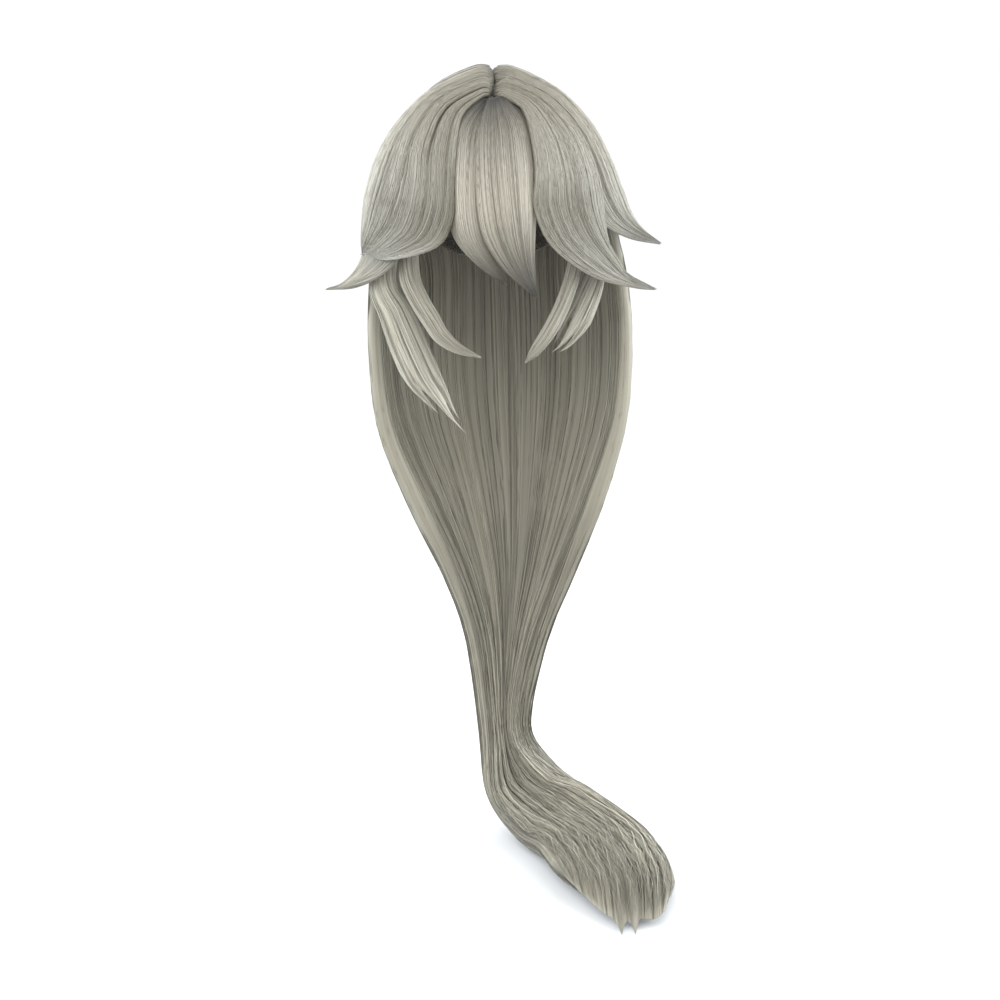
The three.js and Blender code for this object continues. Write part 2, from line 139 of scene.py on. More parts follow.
def add_node(tree, kind, inputs, **settings):
    """A new shader node with its settings made and its inputs filled."""
    node = tree.nodes.new(f"ShaderNode{kind}")
    for name, setting in settings.items():
        setattr(node, name, setting)
    fill(tree, node, inputs)
    return node


def net_material():
    """Dark brown knit: the yarn runs along the edges of small cells and sets colour and bump. Soft noise
    varies the roughness."""
    material, tree, shader = new_material("dark_knitted_net")
    place = add_node(tree, "TexCoord", {}).outputs["Object"]
    cells = add_node(tree, "TexVoronoi", {"Vector": place, "Scale": 480}, feature="DISTANCE_TO_EDGE")
    yarn = add_node(tree, "MapRange", {
        "Value": cells.outputs["Distance"], "From Max": 0.12, "To Min": 1, "To Max": 0,
    }).outputs["Result"]
    colour = add_node(tree, "Mix", {
        "Factor": yarn, "A": (0.04, 0.035, 0.028, 1), "B": (0.17, 0.148, 0.12, 1),
    }, data_type="RGBA")
    mottle = add_node(tree, "TexNoise", {"Vector": place, "Scale": 60})
    worn = add_node(tree, "MapRange", {"Value": mottle.outputs["Fac"], "To Min": 0.78, "To Max": 0.95})
    bump = add_node(tree, "Bump", {"Height": yarn, "Strength": 0.5, "Distance": 0.0006})
    fill(tree, shader, {
        "Base Color": colour.outputs["Result"], "Roughness": worn.outputs["Result"],
        "Normal": bump.outputs["Normal"], "Specular IOR Level": 0.25, "Sheen Weight": 0.2,
    })
    return material


cap = cap_piece()
cap.data.materials.append(net_material())
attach(cap, "root")
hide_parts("cap")


# Back hair
# Three wide panels of long combed fibre, sewn to the cap from the parting round to the nape. They fall
# straight, draw together below the shoulders and end in one frayed tail that lies on the ground.

FLOOR_Z = -0.746
DOME = {"half_width": 0.115, "front": 0.115, "back": 0.122, "equator_z": -0.122, "squareness": 1.06}
PARTING = {
    "top_z": 0.0128, "front_y": -0.048, "front_drop": 0.022, "back_y": 0.045, "back_drop": 0.008,
    "flat_front_y": -0.008, "flat_back_y": 0.015,
}
BACK_ARCS = [0.7, 10, 30, 50, 69, 84]
BACK_EDGE_AZIMUTH = 80
BACK_COVER = {"from": 92, "run": 16, "under": -0.01}
BACK_DOME_DEPTH = 0.011
BACK_ROOT_THINNING = 1.5
BACK_RIM = {"tail_share": 0.3, "more_above": 0.3, "tail_part": (0.6, 0.1), "sharpness": 5}
BACK_GUIDE_COUNT = 5
BACK_ROW_COLUMNS = ["x", "y", "z", "half", "bow", "reach", "depth", "lean", "trail"]
BACK_ROWS = np.array([
    [0.004, 0.112, -0.17, 0.107, 0.112, 90, 0.013, 0, 0],
    [0.006, 0.106, -0.23, 0.11, 0.104, 90, 0.014, 0, 0],
    [0.008, 0.102, -0.3, 0.104, 0.094, 90, 0.016, 0, 0],
    [0.012, 0.108, -0.38, 0.081, 0.07, 85, 0.02, 0, 0],
    [0.014, 0.128, -0.46, 0.056, 0.04, 75, 0.025, 0, 0],
    [0.012, 0.15, -0.54, 0.034, 0.02, 60, 0.03, 0, 0],
    [0.01, 0.166, -0.635, 0.021, 0.01, 50, 0.03, 0, 0],
    [0.025, 0.166, -0.692, 0.034, 0.008, 45, 0.03, 20, 0],
    [0.057, 0.143, -0.722, 0.046, 0.008, 45, 0.03, 65, 0],
    [0.092, 0.096, -0.732, 0.055, 0.008, 45, 0.029, 90, 0],
    [0.108, 0.044, -0.733, 0.054, 0.008, 45, 0.027, 90, 0.002],
    [0.118, -0.012, -0.735, 0.049, 0.008, 45, 0.022, 90, 0.01],
    [0.119, -0.095, -0.74, 0.039, 0.005, 45, 0.012, 90, 0.046],
])
BACK_PANELS = {"back_left": (0, 0.325), "back_centre": (0.319, 0.681), "back_right": (0.675, 1)}


def on_dome(azimuth, arc, drop=0.0, out=0.0):
    """Point of the hair dome: quarter arcs fall from the curved parting line to an equator. Azimuth 0 is the
    forehead and 90 the +X side, arc goes from 0 at the parting to 90 at the equator, drop goes down from
    there and out is the stand-off from the dome."""
    turn, fall = np.radians(azimuth), np.radians(arc)
    ahead = np.cos(turn)
    ridge_y = np.where(ahead > 0, PARTING["front_y"] * ahead, -PARTING["back_y"] * ahead)
    flat_front, flat_back = PARTING["flat_front_y"], PARTING["flat_back_y"]
    front_fall = np.maximum(0, flat_front - ridge_y) / (flat_front - PARTING["front_y"])
    back_fall = np.maximum(0, ridge_y - flat_back) / (PARTING["back_y"] - flat_back)
    ridge_z = PARTING["top_z"] - PARTING["front_drop"] * front_fall**2 - PARTING["back_drop"] * back_fall**2
    equator_y = -np.where(ahead > 0, DOME["front"], DOME["back"]) * ahead
    outward = np.sin(fall) ** DOME["squareness"]
    height = np.maximum(0, np.cos(fall)) ** DOME["squareness"]
    aside = out * np.sin(fall)
    return np.stack([
        DOME["half_width"] * np.sin(turn) * outward + aside * np.sin(turn),
        ridge_y + (equator_y - ridge_y) * outward - aside * ahead,
        DOME["equator_z"] + (ridge_z - DOME["equator_z"]) * height - drop + out * np.cos(fall),
    ], -1)


def spline(knots, place):
    """Smooth curve through knots, read at places from 0 at the first knot to 1 at the last: a cubic for each
    span whose slope at a knot is half the step between its neighbours, with mirrored knots past the ends."""
    padded = np.concatenate([2 * knots[:1] - knots[1:2], knots, 2 * knots[-1:] - knots[-2:-1]])
    scaled = np.clip(place, 0, 1) * (len(knots) - 1)
    span = np.minimum(scaled.astype(int), len(knots) - 2)
    t = (scaled - span)[..., None]
    a, b, c, d = (np.take_along_axis(padded, (span + k)[None, ..., None], axis=0)[0] for k in range(4))
    return 0.5 * (2 * b + (c - a) * t + (2 * a - 5 * b + 4 * c - d) * t**2 + (3 * b - a - 3 * c + d) * t**3)


def on_sheet(guides, u, v):
    """Point of a sheet of hair: every guide strand is read at v, from root 0 to tip 1, and a curve laid
    across those points is read at u."""
    return spline(np.stack([spline(guide[:, None, None, :], v) for guide in guides]), u)


def unit(vectors):
    """Vectors at length 1."""
    return vectors / np.maximum(np.linalg.norm(vectors, axis=-1, keepdims=True), 1e-12)


def sheet_frame(guides, u, v, step=2e-3):
    """Point, direction across and outward normal of a sheet, from small steps to both sides."""
    across = on_sheet(guides, np.minimum(u + step, 1), v) - on_sheet(guides, np.maximum(u - step, 0), v)
    along = on_sheet(guides, u, np.minimum(v + step, 1)) - on_sheet(guides, u, np.maximum(v - step, 0))
    out = unit(np.cross(across, along))
    return on_sheet(guides, u, v), unit(np.cross(along, out)), out


def facing_out(guides):
    """Guides in the order that turns the sheet's normal away from the middle of the head, and whether that
    order is the other way round."""
    middle, _, out = sheet_frame(guides, np.full((1, 1), 0.5), np.full((1, 1), 0.3))
    turned = (out[0, 0, :2] * middle[0, 0, :2]).sum() < 0
    return (guides[::-1] if turned else guides), turned


def bend_steps(guides, count, even_share=1.2, samples=240, lines=(0.15, 0.5, 0.85)):
    """Places from root to tip, closer together where the guides bend: the inverse of the running sum of the
    turn between short steps, with an even share added."""
    fine = np.linspace(0, 1, samples) * np.ones((len(lines), 1))
    line = on_sheet(guides, np.array(lines)[:, None] + 0 * fine, fine)
    turn = np.linalg.norm(np.diff(unit(np.diff(line, axis=1)), axis=1), axis=-1).mean(0)
    weight = np.concatenate([turn[:1], turn]) + even_share * turn.mean()
    passed = np.concatenate([[0], np.cumsum(weight)])
    return np.interp(np.linspace(0, passed[-1], count), passed, np.linspace(0, 1, len(passed)))


def rising(value, start, run):
    """0 up to a start, then an even rise to 1 over a run."""
    return np.clip((value - start) / run, 0, 1)


def falling(value, end, run):
    """1 until a run before an end, then an even fall to 0 at the end."""
    return np.clip((end - value) / run, 0, 1)


def eased(share):
    """An even rise from 0 to 1 made smooth at both ends: three squares less two cubes."""
    return share * share * (3 - 2 * share)


# Parts of the length: a start or an end, and a run
ROOT_FADE = (0.06, 0.3)
TAIL_PART = (0.6, 0.2)
LOOSE_PART = (0.55, 0.25)
QUICK_PART = (0.6, 0.4)
SHADE_PART = (0.6, 0.15)

LEAST_WIDTH = 0.3
LOCK_BEAT = (0.4, 1.4)
GROOVE = {"swell": 0.6, "swing": 0.4, "sharpness": 4}
# The crease tone is the share of a crease's depth taken from the tone: painted shade, and painted light where
# the depth is negative.
CREASE = {"in": 0.06, "out": 0.15, "tone": 0.8}
SLOW_WAVE = {"along": 2.2, "across": 0.9}
QUICK_WAVES = [(1, 38, 7), (0.5, 82, 17)]
RISE_LIMITS = (0.25, 1.25)
TIP_LEAST = 0.04
EDGES = (0.003, 0.997)
ROOT_GAP = {"body": 0.012, "strand": 0.006}
FLOOR_GAP = {"body": 0.001, "strand": 0.0004}


def lock_level(draw, count, relief, lift, tone, groove, rough=0, edges=None, tones=None):
    """Locks of uneven width across a sheet, or with edges and tones given, each with its own lift and
    slow wave along the length. Relief is how deep the grooves between them are, as a share of half the depth,
    groove how much darker they are, and rough how much more of both there is near the tip."""
    # The groove value darkens the tone in the grooves between locks: painted shade.
    widths = LEAST_WIDTH + draw.exponential(1, count)
    drawn_edges = np.concatenate([[0], np.cumsum(widths) / widths.sum()])
    drawn_tones = tone * draw.standard_normal(count)
    return {
        "relief": relief, "groove": groove, "rough": rough,
        "edges": drawn_edges if edges is None else np.array(edges),
        "lift": lift * draw.uniform(-1, 1, count),
        "tone": drawn_tones if tones is None else np.array(tones),
        "phase": draw.random(count),
        "beat": LOCK_BEAT[0] + LOCK_BEAT[1] * draw.random(count),
    }


def in_lock(level, u, v):
    """Number and middle of the lock at u, and how far u is in the groove beside it: 0 on the lock's back and
    1 in a full groove, which comes and goes along the length."""
    lock = np.clip(np.searchsorted(level["edges"], u, side="right") - 1, 0, len(level["edges"]) - 2)
    low, high = level["edges"][lock], level["edges"][lock + 1]
    middle = (low + high) / 2
    wave = np.sin(2 * np.pi * (level["phase"][lock] + level["beat"][lock] * v))
    aside = np.clip(2 * np.abs(u - middle) / (high - low), 0, 1)
    return lock, middle, (GROOVE["swell"] + GROOVE["swing"] * wave) * aside ** GROOVE["sharpness"]


def combed_place(style, u, v):
    """Place across the sheet of the fibre that passes u at v: u with one slow wave along the whole length and
    quick ones in the last part."""
    slow = np.sin(2 * np.pi * (SLOW_WAVE["along"] * v + SLOW_WAVE["across"] * u))
    quick = sum(size * np.sin(along * v + across * u) for size, along, across in QUICK_WAVES)
    return u + style["wander"] * slow + style["meander"] * rising(v, *TAIL_PART) * quick


def on_locks(levels, style, u, v):
    """Rise of the locks, as a share of half the depth, and their tone: the grooves, lifts and tones of large
    locks and small wisps added up, rougher towards the tip and faded out at the root. The grooves' darker
    tone is painted shade. Each crease, with a place, a start, an end, a width and a depth, is then taken away
    from the rise, and a share of it from the tone as painted shade; a negative depth adds painted light."""
    place = np.clip(combed_place(style, u, v), 0, 1)
    rise, tone = 0, 0
    for level in levels:
        rough = 1 + level["rough"] * rising(v, *TAIL_PART)
        lock, _, groove = in_lock(level, place, v)
        rise = rise - rough * level["relief"] * groove + level["lift"][lock]
        tone = tone - rough * level["groove"] * groove + level["tone"][lock]
    root = eased(rising(v, *ROOT_FADE))
    rise, tone = rise * root, tone * root
    for middle, start, end, width, depth in style["creases"]:
        fade = rising(v, start, CREASE["in"]) * falling(v, end, CREASE["out"])
        cut = depth * fade * np.exp(-(((place - middle) / width) ** 2))
        rise, tone = rise - cut, tone - CREASE["tone"] * cut
    return rise, tone


def sheet_reach(style, u):
    """How far down the sheet the hair reaches at u, as a share of the guides' length."""
    return 1 - np.interp(u, style["end_places"], style["end_short"])


def half_depth(depth, levels, style, u, v):
    """Half the thickness of the dense hair: half the depth with the locks' rise, drawn in to the tip."""
    rise, tone = on_locks(levels, style, u, v)
    tip = np.clip((1 - v / sheet_reach(style, u)) / style["end_run"] + TIP_LEAST, TIP_LEAST, 1)
    return depth(u, v) / 2 * np.clip(1 + rise, *RISE_LIMITS) * tip, tone


EVEN_SHARE = 0.55
FACE_INSET, FACE_WIDTH, FACE_HEIGHT = 0.005, 0.49, 0.46
STRIP_BOTTOM, STRIP_PITCH, STRIP_HEIGHT = 0.466, 0.008, 0.006


def sheet_body(guides, depth, levels, style):
    """The dense hair: a closed sheet of uneven locks with fine grooves, pointed where the hair's ends are.
    Its comb value counts the fibres across it. On the map its two faces and four narrow sides lie next to
    each other."""
    columns, rows = style["body"]
    even = np.linspace(0, 1, columns)
    spread = EVEN_SHARE * even + (1 - EVEN_SHARE) * (1 - np.cos(np.pi * even)) / 2
    u = (EDGES[0] + (EDGES[1] - EDGES[0]) * spread) * np.ones((rows, 1))
    length = style["body_end"] * sheet_reach(style, u) - ROOT_GAP["body"]
    v = ROOT_GAP["body"] + length * bend_steps(guides, rows)[:, None]
    point, _, out = sheet_frame(guides, u, v)
    half, tone = half_depth(depth, levels, style, u, v)
    points = np.concatenate([(point + out * (side * half)[..., None]).reshape(-1, 3) for side in (1, -1)])
    points[:, 2] = np.maximum(points[:, 2], FLOOR_Z + FLOOR_GAP["body"])
    count = rows * columns
    top = grid_quads(rows, columns)
    first, left = np.arange(columns - 1), np.arange(rows - 1) * columns
    last, right = first + (rows - 1) * columns, left + columns - 1
    sides = [(first, first + 1), (last + 1, last), (left + columns, left), (right, right + columns)]
    strips = [np.stack([here, here + count, there + count, there], -1) for here, there in sides]
    row_place = np.repeat(np.linspace(0, FACE_HEIGHT, rows), columns)
    face_place = np.stack([FACE_INSET + u.ravel() * FACE_WIDTH, row_place], -1)
    places = [face_place[top], face_place[top[:, ::-1]] + [0.5, 0]]
    for level, strip in enumerate(strips):
        low = STRIP_BOTTOM + STRIP_PITCH * level
        high = low + STRIP_HEIGHT
        across = (np.arange(len(strip))[:, None] + [0, 0, 1, 1]) / len(strip)
        places.append(np.stack([across, np.array([low, high, high, low]) + 0 * across], -1))
    # Painted shade: the inner face is darker over the upper part of the length, where the inside of the hair
    # lies in shadow.
    shade = style["inner_shade"] * falling(v, *SHADE_PART)
    tones = style["tone"] + np.stack([tone, tone - shade])
    fibre = combed_place(style, u, v) * style["body_fibres"]
    comb = np.stack([fibre, fibre + style["wall_fibres"]]).ravel()
    faces = [top, top[:, ::-1] + count, *strips]
    return points, faces, places, tones.ravel(), np.tile(v.ravel(), 2), comb


BEND_COUNT = 200
STRAND_BEAT = (0.5, 1.5)
STRAND_QUICKER = 0.6
SWAY_RUN = 0.25
PROUD_LEAST = 0.1
EDGE_BAND = 0.9


def strand_paths(guides, depth, levels, style, draw):
    """Centre lines of single strands on the dense hair. Each has its own place across, covers a part of the
    length or runs out to the tip, is drawn towards the middle of its wisp and of its lock, and sways a
    little. It lies on the outer or the inner face, or along an edge."""
    count, steps = style["strands"]

    def chance():
        """A number from 0 to 1 for every strand."""
        return draw.random((count, 1))

    start = draw.permutation((np.arange(count) + draw.random(count)) / count)[:, None]
    edge = chance() < style["edge_share"]
    start = np.where(edge, np.where(chance() < 0.5, *EDGES), start)
    side = np.where(chance() < style["outer_share"], 1.0, -1.0)
    locks, wisps = levels
    _, lock_middle, _ = in_lock(locks, start, 0 * start)
    wisp, wisp_middle, _ = in_lock(wisps, start, 0 * start)
    places = np.linspace(0, 1, BEND_COUNT)
    bends = bend_steps(guides, BEND_COUNT)
    end = sheet_reach(style, start) * (1 - style["ragged"] * chance() ** 2)
    last = np.interp(end, bends, places)
    run = style["run"][0] + (style["run"][1] - style["run"][0]) * chance()
    to_tip = chance() < style["tip_share"]
    first = np.where(to_tip, 1 - run, (1 - run) * chance()) * last
    first = np.maximum(first, ROOT_GAP["strand"])
    share = np.linspace(0, 1, steps)
    v = np.interp(first + np.minimum(run * last, last - first) * share, places, bends)
    loose = 1 + style["tousled"] * rising(v, *LOOSE_PART)
    pace = v * (1 + style["tousled"] * STRAND_QUICKER * rising(v, *QUICK_PART))
    beat = STRAND_BEAT[0] + STRAND_BEAT[1] * chance()
    wave = np.sin(2 * np.pi * (chance() + beat * pace))
    wisp_wave = np.sin(2 * np.pi * (wisps["phase"][wisp] + wisps["beat"][wisp] * pace))
    sway = (style["sway"] * wave + style["roam"] * wisp_wave) * loose * np.minimum(1, v / SWAY_RUN)
    to_wisp, to_lock = style["gather"] * v, style["point"] * v ** style["late"]
    drawn = (wisp_middle - start) * to_wisp + (lock_middle - start) * to_lock
    u = np.where(edge, start, np.clip(start + drawn + sway, *EDGES))
    point, across, out = sheet_frame(guides, u, v)
    half, tone = half_depth(depth, levels, style, u, v)
    proud = style["proud"] * (chance() + PROUD_LEAST) * loose
    strays = chance() < style["stray_share"]
    stray = np.where(strays, chance(), 0) * style["stray"]
    on_edge = half * draw.uniform(-EDGE_BAND, EDGE_BAND, (count, 1))
    height = np.where(edge, on_edge, side * (half + proud + stray * share**2))
    tone = style["tone"] + tone + style["tone_spread"] * draw.standard_normal((count, 1))
    # Painted shade: strands on the inner face are darker over the upper part of the length.
    tone = tone - np.where(side < 0, style["inner_shade"], 0) * falling(v, *SHADE_PART)
    edge, side, aside = edge[..., None], side[..., None], np.sign(start - 0.5)[..., None]
    ridge = np.where(edge, across * aside, out * side)
    width_way = np.where(edge, -out * aside, across * side)
    return point + out * height[..., None], width_way, ridge, np.clip(tone, 0, 1), v


WIDTH_SPREAD = (0.55, 0.9)
ROOT_RUN, ROOT_WIDTH, TIP_WIDTH = 0.25, 0.1, 0.06
CELL_BOTTOM, CELL_HEIGHT = 0.04, 0.92
CELL_LEFT, SIDE_PITCH, SIDE_WIDTH = 0.06, 0.31, 0.27
FIBRE_COUNT = 400
FIBRE_STEP = 0.8


def strand_tubes(point, across, out, tone, along, style, draw):
    """Closed three-sided tubes along the centre lines, pointed at root and tip, with the ridge facing out. On
    the map every strand has a narrow cell of its own, with its three sides next to each other."""
    count, steps = tone.shape
    share = np.linspace(0, 1, steps)
    full = style["width"] * (WIDTH_SPREAD[0] + WIDTH_SPREAD[1] * draw.random((count, 1)))
    from_root = np.minimum(1, share / ROOT_RUN + ROOT_WIDTH)
    width = full * from_root * np.minimum(1, (1 - share) / style["taper"] + TIP_WIDTH)
    wide, high = across * width[..., None] / 2, out * width[..., None] * style["flat"]
    ring = np.stack([point - wide, point + high, point + wide], 2)
    ring[:, 0], ring[:, -1] = point[:, :1], point[:, -1:]
    ring[..., 2] = np.maximum(ring[..., 2], FLOOR_Z + FLOOR_GAP["strand"])
    inner = ring[:, 1:-1].reshape(count, -1, 3)
    points = np.concatenate([ring[:, 0, :1], inner, ring[:, -1, :1]], 1)
    size = points.shape[1]
    base = (np.arange(count) * size)[:, None, None]
    quads = (base + 1 + grid_quads(steps - 2, 3, closed=True)).reshape(-1, 4)
    side = np.arange(3)
    after = (side + 1) % 3
    end = 1 + (steps - 3) * 3
    root = np.stack([0 * side, 1 + after, 1 + side], -1)
    tip = np.stack([end + side, end + after, 0 * side + size - 1], -1)
    triangles = (base + np.concatenate([root, tip])).reshape(-1, 3)
    columns = int(np.ceil(np.sqrt(count * 2)))
    lines = int(np.ceil(count / columns))
    line, column = np.divmod(np.arange(count), columns)
    corner = np.stack([column / columns, 0.5 + 0.5 * line / lines], -1)[:, None, None]
    scale = np.array([1 / columns, 0.5 / lines])
    ladder = np.repeat((CELL_BOTTOM + CELL_HEIGHT * share)[:, None], 3, 1)
    left = CELL_LEFT + SIDE_PITCH * side + 0 * ladder
    at = np.stack([np.stack([left, ladder], -1), np.stack([left + SIDE_WIDTH, ladder], -1)], 2)
    quad_at = np.concatenate([at[1:-2], at[2:-1, :, ::-1]], 2).reshape(1, -1, 4, 2)
    root_at = np.stack([at[0].mean(1), at[1, :, 1], at[1, :, 0]], 1)
    tip_at = np.stack([at[-2, :, 0], at[-2, :, 1], at[-1].mean(1)], 1)
    quad_uv = (corner + quad_at * scale).reshape(-1, 4, 2)
    triangle_uv = (corner + np.concatenate([root_at, tip_at])[None] * scale).reshape(-1, 3, 2)

    def per_point(value, spread=(0, 0, 0)):
        """One value for each point of the tubes, with an amount added on each side of a ring."""
        rings = (value[:, 1:-1, None] + np.array(spread)).reshape(count, -1)
        return np.concatenate([value[:, :1], rings, value[:, -1:]], 1).ravel()

    comb = FIBRE_COUNT * draw.random((count, 1)) + 0 * tone
    return (points.reshape(-1, 3), [quads, triangles], [quad_uv, triangle_uv],
            per_point(tone), per_point(along), per_point(comb, (-FIBRE_STEP, 0, FIBRE_STEP)))


# How hair is combed, in metres and in shares of the sheet. A piece gives only what it changes.
# The locks' and wisps' groove values and the inner shade darken the tone as painted shade; creases paint
# shade, and light where their depth is negative.
COMBED_STYLE = {
    "strands": (500, 16), "width": 0.0007, "flat": 0.35, "taper": 0.4, "run": (0.35, 0.8), "tip_share": 0.4,
    "locks": {"count": 5, "relief": 0.2, "lift": 0.06, "tone": 0.03, "groove": 0.2},
    "wisps": {"count": 30, "relief": 0.06, "lift": 0.03, "tone": 0.03, "groove": 0.06},
    "gather": 0.15, "point": 0.1, "late": 3, "ragged": 0.03, "end_places": [0, 1], "end_short": [0, 0],
    "end_run": 0.25, "outer_share": 0.85, "edge_share": 0.08, "sway": 0.006, "roam": 0.004, "tousled": 0,
    "proud": 0.0003, "stray_share": 0.02, "stray": 0.002, "tone": 0.5, "tone_spread": 0.1, "inner_shade": 0.1,
    "body": (60, 40), "body_end": 0.99, "body_fibres": 160, "wall_fibres": 7, "wander": 0, "meander": 0,
    "creases": [],
}


def hair_piece(name, guides, depth, material, seed, **choices):
    """One piece of hair: a body of dense locks joined in one mesh with the strands that lie on it."""
    style = COMBED_STYLE | choices
    draw = np.random.default_rng(seed)
    guides, turned = facing_out(guides)
    levels = [lock_level(draw, **(COMBED_STYLE[level] | style[level])) for level in ("locks", "wisps")]
    if turned:
        for level in levels:
            level["edges"] = 1 - level["edges"][::-1]
            level["tone"] = level["tone"][::-1]
        style["end_places"] = 1 - np.array(style["end_places"])[::-1]
        style["end_short"] = style["end_short"][::-1]
        style["creases"] = [[1 - middle, *rest] for middle, *rest in style["creases"]]
    body = sheet_body(guides, depth, levels, style)
    tubes = strand_tubes(*strand_paths(guides, depth, levels, style, draw), style, draw)
    points, faces, places, tone, along, comb = zip(body, tubes)
    piece = mesh_piece(
        f"{name}_hair", np.concatenate(points),
        [*faces[0], *(face + len(points[0]) for face in faces[1])], places[0] + places[1],
        tone=np.concatenate(tone), along=np.concatenate(along), comb=np.concatenate(comb),
    )
    piece.data.materials.append(material)
    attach(piece, "root")
    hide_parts(name)


# Usual values: the root and tip values paint shade and light along the hair.
FIBRE_SHADES = {
    "Root Shade": 0.7, "Root Run": 0.16, "Tip Shade": 1, "Tip Run": 0.25, "Streaks": 0.7, "Smooth": 0.36,
}
GRAIN_RUN = 4
GLOSS_SPREAD = 0.14
DARKEST_PAINTED_ROOT = 0.03


def fibre_group():
    """Colour, roughness and streaks of combed fibre: noise drawn out along the hair shifts each fibre's tone
    between the dark and the light colour. Painted shade at the root, and at the tip painted shade below 1
    and painted light above 1, each over its own run, then deepen or lighten it."""
    group = bpy.data.node_groups.new("combed_fibre", "ShaderNodeTree")
    for way, kind, sockets in [
        ("INPUT", "Color", ["Dark", "Light"]), ("INPUT", "Float", FIBRE_SHADES),
        ("OUTPUT", "Color", ["Colour"]), ("OUTPUT", "Float", ["Roughness", "Streak"]),
    ]:
        for socket in sockets:
            group.interface.new_socket(socket, in_out=way, socket_type=f"NodeSocket{kind}")
    given = group.nodes.new("NodeGroupInput").outputs
    put = group.nodes.new("NodeGroupOutput")

    def value_of(name):
        """The value that every point of a hair piece carries under a name."""
        return add_node(group, "Attribute", {}, attribute_name=name).outputs["Fac"]

    def maths(operation, *numbers):
        """Result of a Math node whose inputs are sockets or plain numbers."""
        return add_node(group, "Math", dict(enumerate(numbers)), operation=operation).outputs["Value"]

    def ramp(value, low, high, at_low, at_high):
        """Smooth step of a value, from at_low at low to at_high at high."""
        return add_node(group, "MapRange", {
            "Value": value, "From Min": low, "From Max": high, "To Min": at_low, "To Max": at_high,
        }, interpolation_type="SMOOTHSTEP").outputs["Result"]

    along = value_of("along")
    spot = add_node(group, "CombineXYZ", {"X": value_of("comb"), "Y": maths("MULTIPLY", along, GRAIN_RUN)})
    streak = add_node(group, "TexNoise", {
        "Vector": spot.outputs["Vector"], "Scale": 0.14, "Detail": 5, "Roughness": 0.68,
    }).outputs["Fac"]
    tone = maths("MULTIPLY_ADD", maths("SUBTRACT", streak, 0.5), given["Streaks"], value_of("tone"))
    ends = {"A": given["Dark"], "B": given["Light"]}
    colour = add_node(group, "Mix", {"Factor": tone} | ends, data_type="RGBA")
    # Painted shade at the root and painted light and shade at the tip, multiplied into the colour.
    root = maths("MAXIMUM", ramp(along, 0, given["Root Run"], given["Root Shade"], 1), DARKEST_PAINTED_ROOT)
    tip = ramp(along, maths("SUBTRACT", 1, given["Tip Run"]), 1, 1, given["Tip Shade"])
    shaded = add_node(group, "Mix", {
        "Factor": 1, "A": colour.outputs["Result"], "B": maths("MULTIPLY", root, tip),
    }, data_type="RGBA", blend_type="MULTIPLY")
    fill(group, put, {
        "Colour": shaded.outputs["Result"],
        "Roughness": maths("MULTIPLY_ADD", streak, GLOSS_SPREAD, given["Smooth"]),
        "Streak": streak,
    })
    return group


FIBRE = fibre_group()


def fibre_material(name, dark, light, sheen=0.08, **values):
    """Ash-grey synthetic fibre with a soft gloss, fine grooves and a cool sheen at grazing angles."""
    material, tree, shader = new_material(name)
    shades = {socket.replace("_", " ").title(): value for socket, value in values.items()}
    colours = {"Dark": (*dark, 1), "Light": (*light, 1)}
    fibre = add_node(tree, "Group", colours | FIBRE_SHADES | shades, node_tree=FIBRE)
    groove = add_node(tree, "Bump", {"Height": fibre.outputs["Streak"], "Strength": 0.3, "Distance": 0.0006})
    fill(tree, shader, {
        "Base Color": fibre.outputs["Colour"], "Roughness": fibre.outputs["Roughness"],
        "Normal": groove.outputs["Normal"], "Specular IOR Level": 0.32,
        "Sheen Weight": sheen, "Sheen Roughness": 0.2, "Sheen Tint": (0.85, 0.9, 1, 1),
    })
    return material


def back_guides(share_from, share_to):
    """Guide strands between two shares of the way round the back. Each falls from the parting over the dome
    and then through a bow at every row: aside along the row's width and forward by its bow, both set by the
    strand's swing, on axes that turn from the back to the ground as the tail lies down."""
    share = np.linspace(share_from, share_to, BACK_GUIDE_COUNT)[:, None]
    turn = (2 * share - 1) * (180 - BACK_EDGE_AZIMUTH)
    azimuth = 180 - np.abs(turn)
    cover = eased(rising(azimuth, BACK_COVER["from"], BACK_COVER["run"]))
    out = BACK_COVER["under"] * (1 - cover) - BACK_DOME_DEPTH / 2
    on_head = on_dome(np.where(turn < 0, -azimuth, azimuth), np.array(BACK_ARCS), 0, out)
    _, _, _, half, bow, reach, _, lean, trail = BACK_ROWS.T
    knots = BACK_ROWS[:, :3]
    ends = np.concatenate([knots[:1], knots, knots[-1:]])
    along = unit(ends[2:] - ends[:-2])
    outer = np.stack([0 * lean, np.cos(np.radians(lean)), -np.sin(np.radians(lean))], -1)
    across = unit(np.cross(along, outer))
    swing = np.radians(reach) * (2 * share - 1)
    aside = np.sin(swing) / np.sin(np.radians(reach))
    forward = (1 - np.cos(swing)) / (1 - np.cos(np.radians(reach)))
    below = (
        knots + across * (half * aside)[..., None] - outer * (bow * forward)[..., None]
        - along * (trail * forward)[..., None]
    )
    return np.concatenate([on_head, below], 1)


def back_depth(share_from, share_to):
    """Depth of a back panel: a smooth curve through the depths on the dome and at the rows, rounded off
    towards the two front edges of the whole back."""
    on_head = np.full(len(BACK_ARCS), BACK_DOME_DEPTH)
    on_head[0] /= BACK_ROOT_THINNING
    knots = np.concatenate([on_head, BACK_ROWS[:, BACK_ROW_COLUMNS.index("depth")]])[:, None, None, None]

    def at(u, v):
        share = share_from + (share_to - share_from) * u
        low = BACK_RIM["tail_share"] + BACK_RIM["more_above"] * falling(v, *BACK_RIM["tail_part"])
        edge = low + (1 - low) * (1 - np.abs(2 * share - 1) ** BACK_RIM["sharpness"])
        return spline(knots, v)[..., 0] * edge

    return at


